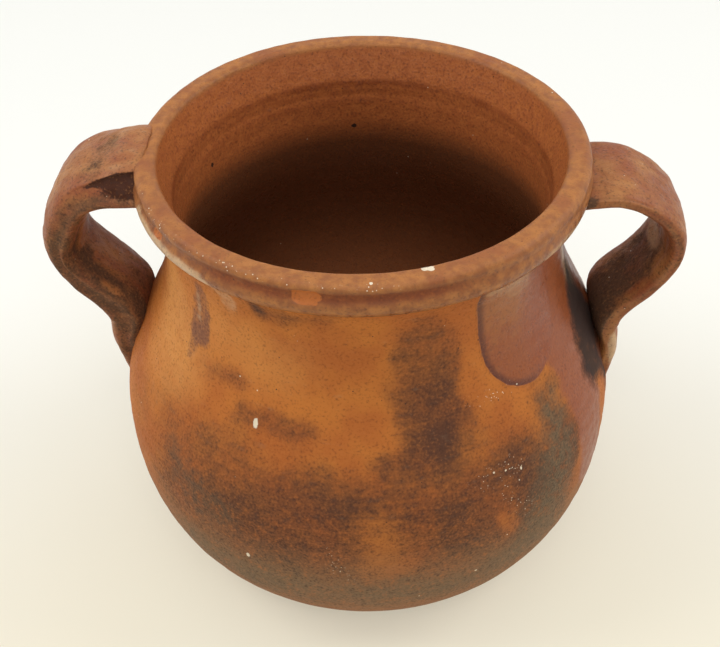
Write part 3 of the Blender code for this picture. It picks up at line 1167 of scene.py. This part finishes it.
def marked(g, clouds, look, ink):
    """A look under smears, pale drips and painted sheen, chips, the black stain, specks, painted glints,
    nicks and pits.
    """
    grain = clouds.grain
    fine = clouds.fine
    smear = g.ramp(g.frayed("smear", 0.6, fine, grain), 0.1, 0.9, 0.0, 0.85)
    look = g.mix(smear, look, SMEAR_MAUVE)
    # Painted sheen: pale reflections on the glaze, together with a real pale drip
    drip_and_sheen = g.ramp(g.frayed("drip_and_sheen", 0.7, fine, clouds.lines), 0.1, 1.0, 0.0, 0.8)
    look = g.mix(drip_and_sheen, look, DRIP_AND_SHEEN_GREY)
    chip = g.ramp(g.field("chip"), 0.35, 0.65)
    look = g.mix(chip, look, g.mix(fine, CHIP_ORANGE, CLAY_ORANGE))
    look = g.mix(g.ramp(grain, 0.46, 0.27, 0.0, 0.2), look, CLAY_OCHRE)
    look = g.mix(ink, look, STAIN_BLACK)
    look = g.mix(g.ramp(grain, 0.5, 0.76, 0.0, 0.42), look, SPECK_DARK)
    look = g.mix(g.specks(*DARK_SPECKS), look, SPECK_DARK)
    look = g.mix(g.specks(*WHITE_SPECKS), look, SPECK_AND_GLINT_WHITE)
    # Painted glints on the crest, and real pale scratches on the belly
    look = g.mix(g.times(g.field("glint_and_scratch"), g.specks(*GLINT_SPECKS)), look, SPECK_AND_GLINT_WHITE)
    for spots, shade in ((NICKS, SPECK_AND_GLINT_WHITE), (PITS, SPECK_DARK)):
        for spot in spots:
            look = g.mix(g.spot(spot), look, shade)
    return look


def clay_material():
    """Bare orange clay with soot, under glaze on the rim, inside and in the runs."""
    g = Graph("pot_wall_look")
    noises = [g.cloud(*cloud) for cloud in (GRAIN_CLOUD, FINE_CLOUD, BROAD_CLOUD, LINE_CLOUD)]
    clouds = Clouds(*noises, g.height())
    grain, fine, broad, lines, up = clouds
    wash = g.ramp(g.plus(g.field("wash"), g.times(fine, 0.5)), 0.3, 1.1, 0.0, 0.92)
    clay = g.mix(wash, bare_clay(g, clouds), WASH_RED)

    run = g.field("run")
    coat = g.field("glaze")
    lip = g.ramp(up, *LIP_BAND)
    glaze = g.mix(g.field("inside"), rim_glaze(g, clouds, run), inside_glaze(g, clouds))
    glaze = g.mix(lip, glaze, lip_glaze(g, clouds))
    glazed = g.ramp(g.plus(coat, g.times(fine, GLAZE_RAGGED), -GLAZE_RAGGED / 2), *GLAZE_SOFT)
    # A thin dark line where the glaze ends under the band of the rim: partly the edge of the glaze, partly
    # painted shadow in the gap under the band
    line = g.times(g.band(coat, *RIM_EDGE_AND_SHADOW), g.ramp(run, *RUN_CLEAR, 1.0, 0.0))
    line = g.times(line, g.ramp(lines, 0.3, 0.5, 0.2, 0.8))
    look = g.mix(line, g.mix(glazed, clay, glaze), GLAZE_EDGE_AND_SHADOW_LINE)

    ink = g.plus(g.frayed("stain", 0.7, broad, fine), g.times(g.plus(grain, -0.5), 0.4))
    ink = g.ramp(ink, 0.1, 1.0, 0.0, 0.94)
    look = marked(g, clouds, look, ink)
    dull = g.ramp(grain, 0.3, 0.7, 0.6, 0.8)
    shiny = g.ramp(fine, 0.3, 0.7, 0.24, 0.4)
    coated = g.math("MAXIMUM", g.times(glazed, g.ramp(lip, 0.0, 1.0, 1.0, 0.5)), g.times(wash, 0.9))
    shine = g.mix(coated, dull, shiny, "FLOAT")
    matt = g.math("MAXIMUM", ink, g.times(g.field("groove"), 0.5))
    shine = g.mix(matt, shine, STAIN_ROUGHNESS, "FLOAT")
    return g.finish(look, shine, g.plus(g.times(grain, 0.6), fine), WALL_BUMP)


def strap_material(name):
    """Brown slip glaze, worn tan on the raised parts, sooty below, darker along its creases as painted shade,
    dark where it pooled, and with patches of painted sheen.
    """
    g = Graph(name)
    grain = g.cloud(*GRAIN_CLOUD)
    fine = g.cloud(*FINE_CLOUD)
    broad = g.cloud(*STRAP_CLOUD)
    streak = g.streaks(*STREAK_COUNTS)
    look = g.mix(g.ramp(g.plus(broad, g.times(streak, 0.5)), 0.58, 1.05), STRAP_RED, STRAP_TAN)
    look = g.mix(g.ramp(fine, 0.5, 0.72, 0.0, 0.45), look, GLAZE_MAUVE)
    spread = g.field("soot")
    uneven = g.plus(g.weigh((fine, 0.6), (grain, 0.5), (streak, 1.3)), -1.2)
    # The creases are added to the soot as painted shade
    soot = g.plus(spread, g.field("crease"), g.times(uneven, g.ramp(spread, 0.0, 0.4, 0.2, 1.0)))
    soot = g.ramp(soot, 0.05, 1.0, 0.0, 0.95)
    look = g.mix(soot, look, STRAP_SOOT_AND_SHADE)
    pool = g.ramp(g.frayed("pool", 0.7, fine, grain, level=0.6), 0.4, 0.9, 0.0, 0.95)
    look = g.mix(pool, look, STRAP_POOL)
    # Painted sheen on the strap
    drip_and_sheen = g.ramp(g.frayed("drip_and_sheen", 0.8, fine, streak), 0.2, 1.0, 0.0, 0.75)
    look = g.mix(drip_and_sheen, look, DRIP_AND_SHEEN_GREY)
    look = g.mix(g.ramp(grain, 0.46, 0.28, 0.0, 0.3), look, STRAP_TAN)
    look = g.mix(g.ramp(grain, 0.51, 0.72, 0.0, 0.55), look, SPECK_DARK)
    look = g.mix(g.specks(*STRAP_SPECKS), look, SPECK_AND_GLINT_WHITE)
    shine = g.plus(g.ramp(fine, 0.3, 0.7, 0.4, 0.58), g.times(soot, 0.3), g.times(pool, 0.3))
    return g.finish(look, shine, g.plus(g.times(grain, 0.7), fine), STRAP_BUMP)


# Stage

FLOOR_SIZE = 3.0
FLOOR_WHITE = colour(250, 250, 244)
# Painted warm shade and bounce light: the floor is cream near the front of the pot
FLOOR_WARM_SHADE = colour(244, 237, 216)
FLOOR_MIDDLE = (0, -0.15, 0)
WARM_SHADE_SIZE = 0.1
WARM_SHADE_FADE = 0.36
FLOOR_GLOW = 0.45
WORLD_FILL = 0.4
FLOOR_ROUGHNESS = 0.9

# Round lamps that point at the middle of the pot: name, place, size and power
LAMPS = (
    ("key", (-0.9, 0, 1.0), 0.7, 6.0),
    ("right", (1.0, 0.15, 0.9), 0.7, 5.8),
    ("front", (0.1, -0.85, 1.1), 0.7, 3.85),
    ("top", (0, 0, 1.4), 1.0, 3.65),
)


def seen_rays(tree):
    """1 for rays that look at things, straight or in a gloss, and 0 for those that only carry light."""
    rays = tree.nodes.new("ShaderNodeLightPath")
    seen = rays.outputs["Is Camera Ray"]
    for kind in ("Is Glossy Ray", "Is Transmission Ray"):
        either = tree.nodes.new("ShaderNodeMath")
        either.operation = "MAXIMUM"
        tree.links.new(seen, either.inputs[0])
        tree.links.new(rays.outputs[kind], either.inputs[1])
        seen = either.outputs["Value"]
    return seen


def add_light(name, place, size, power):
    lamp = bpy.data.lights.new(name, "AREA")
    lamp.shape = "DISK"
    lamp.size = size
    lamp.energy = power
    light = add_object(name, lamp)
    light.location = place
    light.rotation_mode = "QUATERNION"
    light.rotation_quaternion = (Vector((0, 0, HEIGHT / 2)) - light.location).to_track_quat("-Z", "Y")


def floor_material():
    """A white table, cream near the pot as painted warm shade and bounce light, that shows nearly half its
    colour unshaded.
    """
    g = Graph("floor_look")
    away = g.vector("DISTANCE", g.place, FLOOR_MIDDLE)
    # Painted warm shade near the pot, fading to white further away
    look = g.mix(g.ramp(away, WARM_SHADE_SIZE, WARM_SHADE_FADE), FLOOR_WARM_SHADE, FLOOR_WHITE)
    g.feed(g.shader.inputs["Base Color"], look)
    g.shader.inputs["Roughness"].default_value = FLOOR_ROUGHNESS
    glow = g.add("ShaderNodeEmission")
    g.feed(glow.inputs["Color"], look)
    both = g.add("ShaderNodeMixShader")
    g.feed(both.inputs["Fac"], g.times(seen_rays(g.tree), FLOOR_GLOW))
    g.feed(both.inputs[1], g.shader.outputs["BSDF"])
    g.feed(both.inputs[2], glow.outputs["Emission"])
    g.feed(g.tree.nodes["Material Output"].inputs["Surface"], both.outputs["Shader"])
    return g.material


def make_stage():
    mesh = bpy.data.meshes.new("floor")
    half = FLOOR_SIZE / 2
    corners = [(-half, -half, 0), (half, -half, 0), (half, half, 0), (-half, half, 0)]
    mesh.from_pydata(corners, [], [(0, 1, 2, 3)])
    mesh.materials.append(floor_material())
    floor = add_object("floor", mesh)


def make_lights():
    """Soft lamps, in a world that is white to look at and a softer fill for the rest."""
    for lamp in LAMPS:
        add_light(*lamp)
    world = bpy.data.worlds.new("studio")
    bpy.context.scene.world = world
    world.use_nodes = True
    tree = world.node_tree
    strength = tree.nodes.new("ShaderNodeMapRange")
    strength.inputs["To Min"].default_value = WORLD_FILL
    tree.links.new(seen_rays(tree), strength.inputs["Value"])
    background = tree.nodes["Background"]
    background.inputs["Color"].default_value = (1, 1, 1, 1)
    tree.links.new(strength.outputs["Result"], background.inputs["Strength"])


def make_camera():
    lens = bpy.data.cameras.new("camera")
    lens.lens = LENS
    lens.sensor_width = SENSOR
    camera = add_object("camera", lens)
    azimuth = math.radians(CAMERA_AZIMUTH)
    elevation = math.radians(CAMERA_ELEVATION)
    right = Vector((math.cos(azimuth), math.sin(azimuth), 0))
    ahead = Vector((-math.sin(azimuth), math.cos(azimuth), 0))
    back = Vector((0, 0, math.sin(elevation))) - ahead * math.cos(elevation)
    up = back.cross(right)
    turned = Matrix((right, up, back)).transposed() @ Matrix.Rotation(math.radians(CAMERA_ROLL), 3, "Z")
    place = right * AIM_ASIDE + Vector((0, 0, AIM_HEIGHT)) + back * CAMERA_DISTANCE
    camera.matrix_world = Matrix.Translation(place) @ turned.to_4x4()
    bpy.context.scene.camera = camera
    bpy.context.scene.view_settings.view_transform = "Standard"


make_vessel()
make_strap("left_strap", "handle_left", LEFT)
make_strap("right_strap", "handle_right", RIGHT)
make_stage()
make_lights()
make_camera()
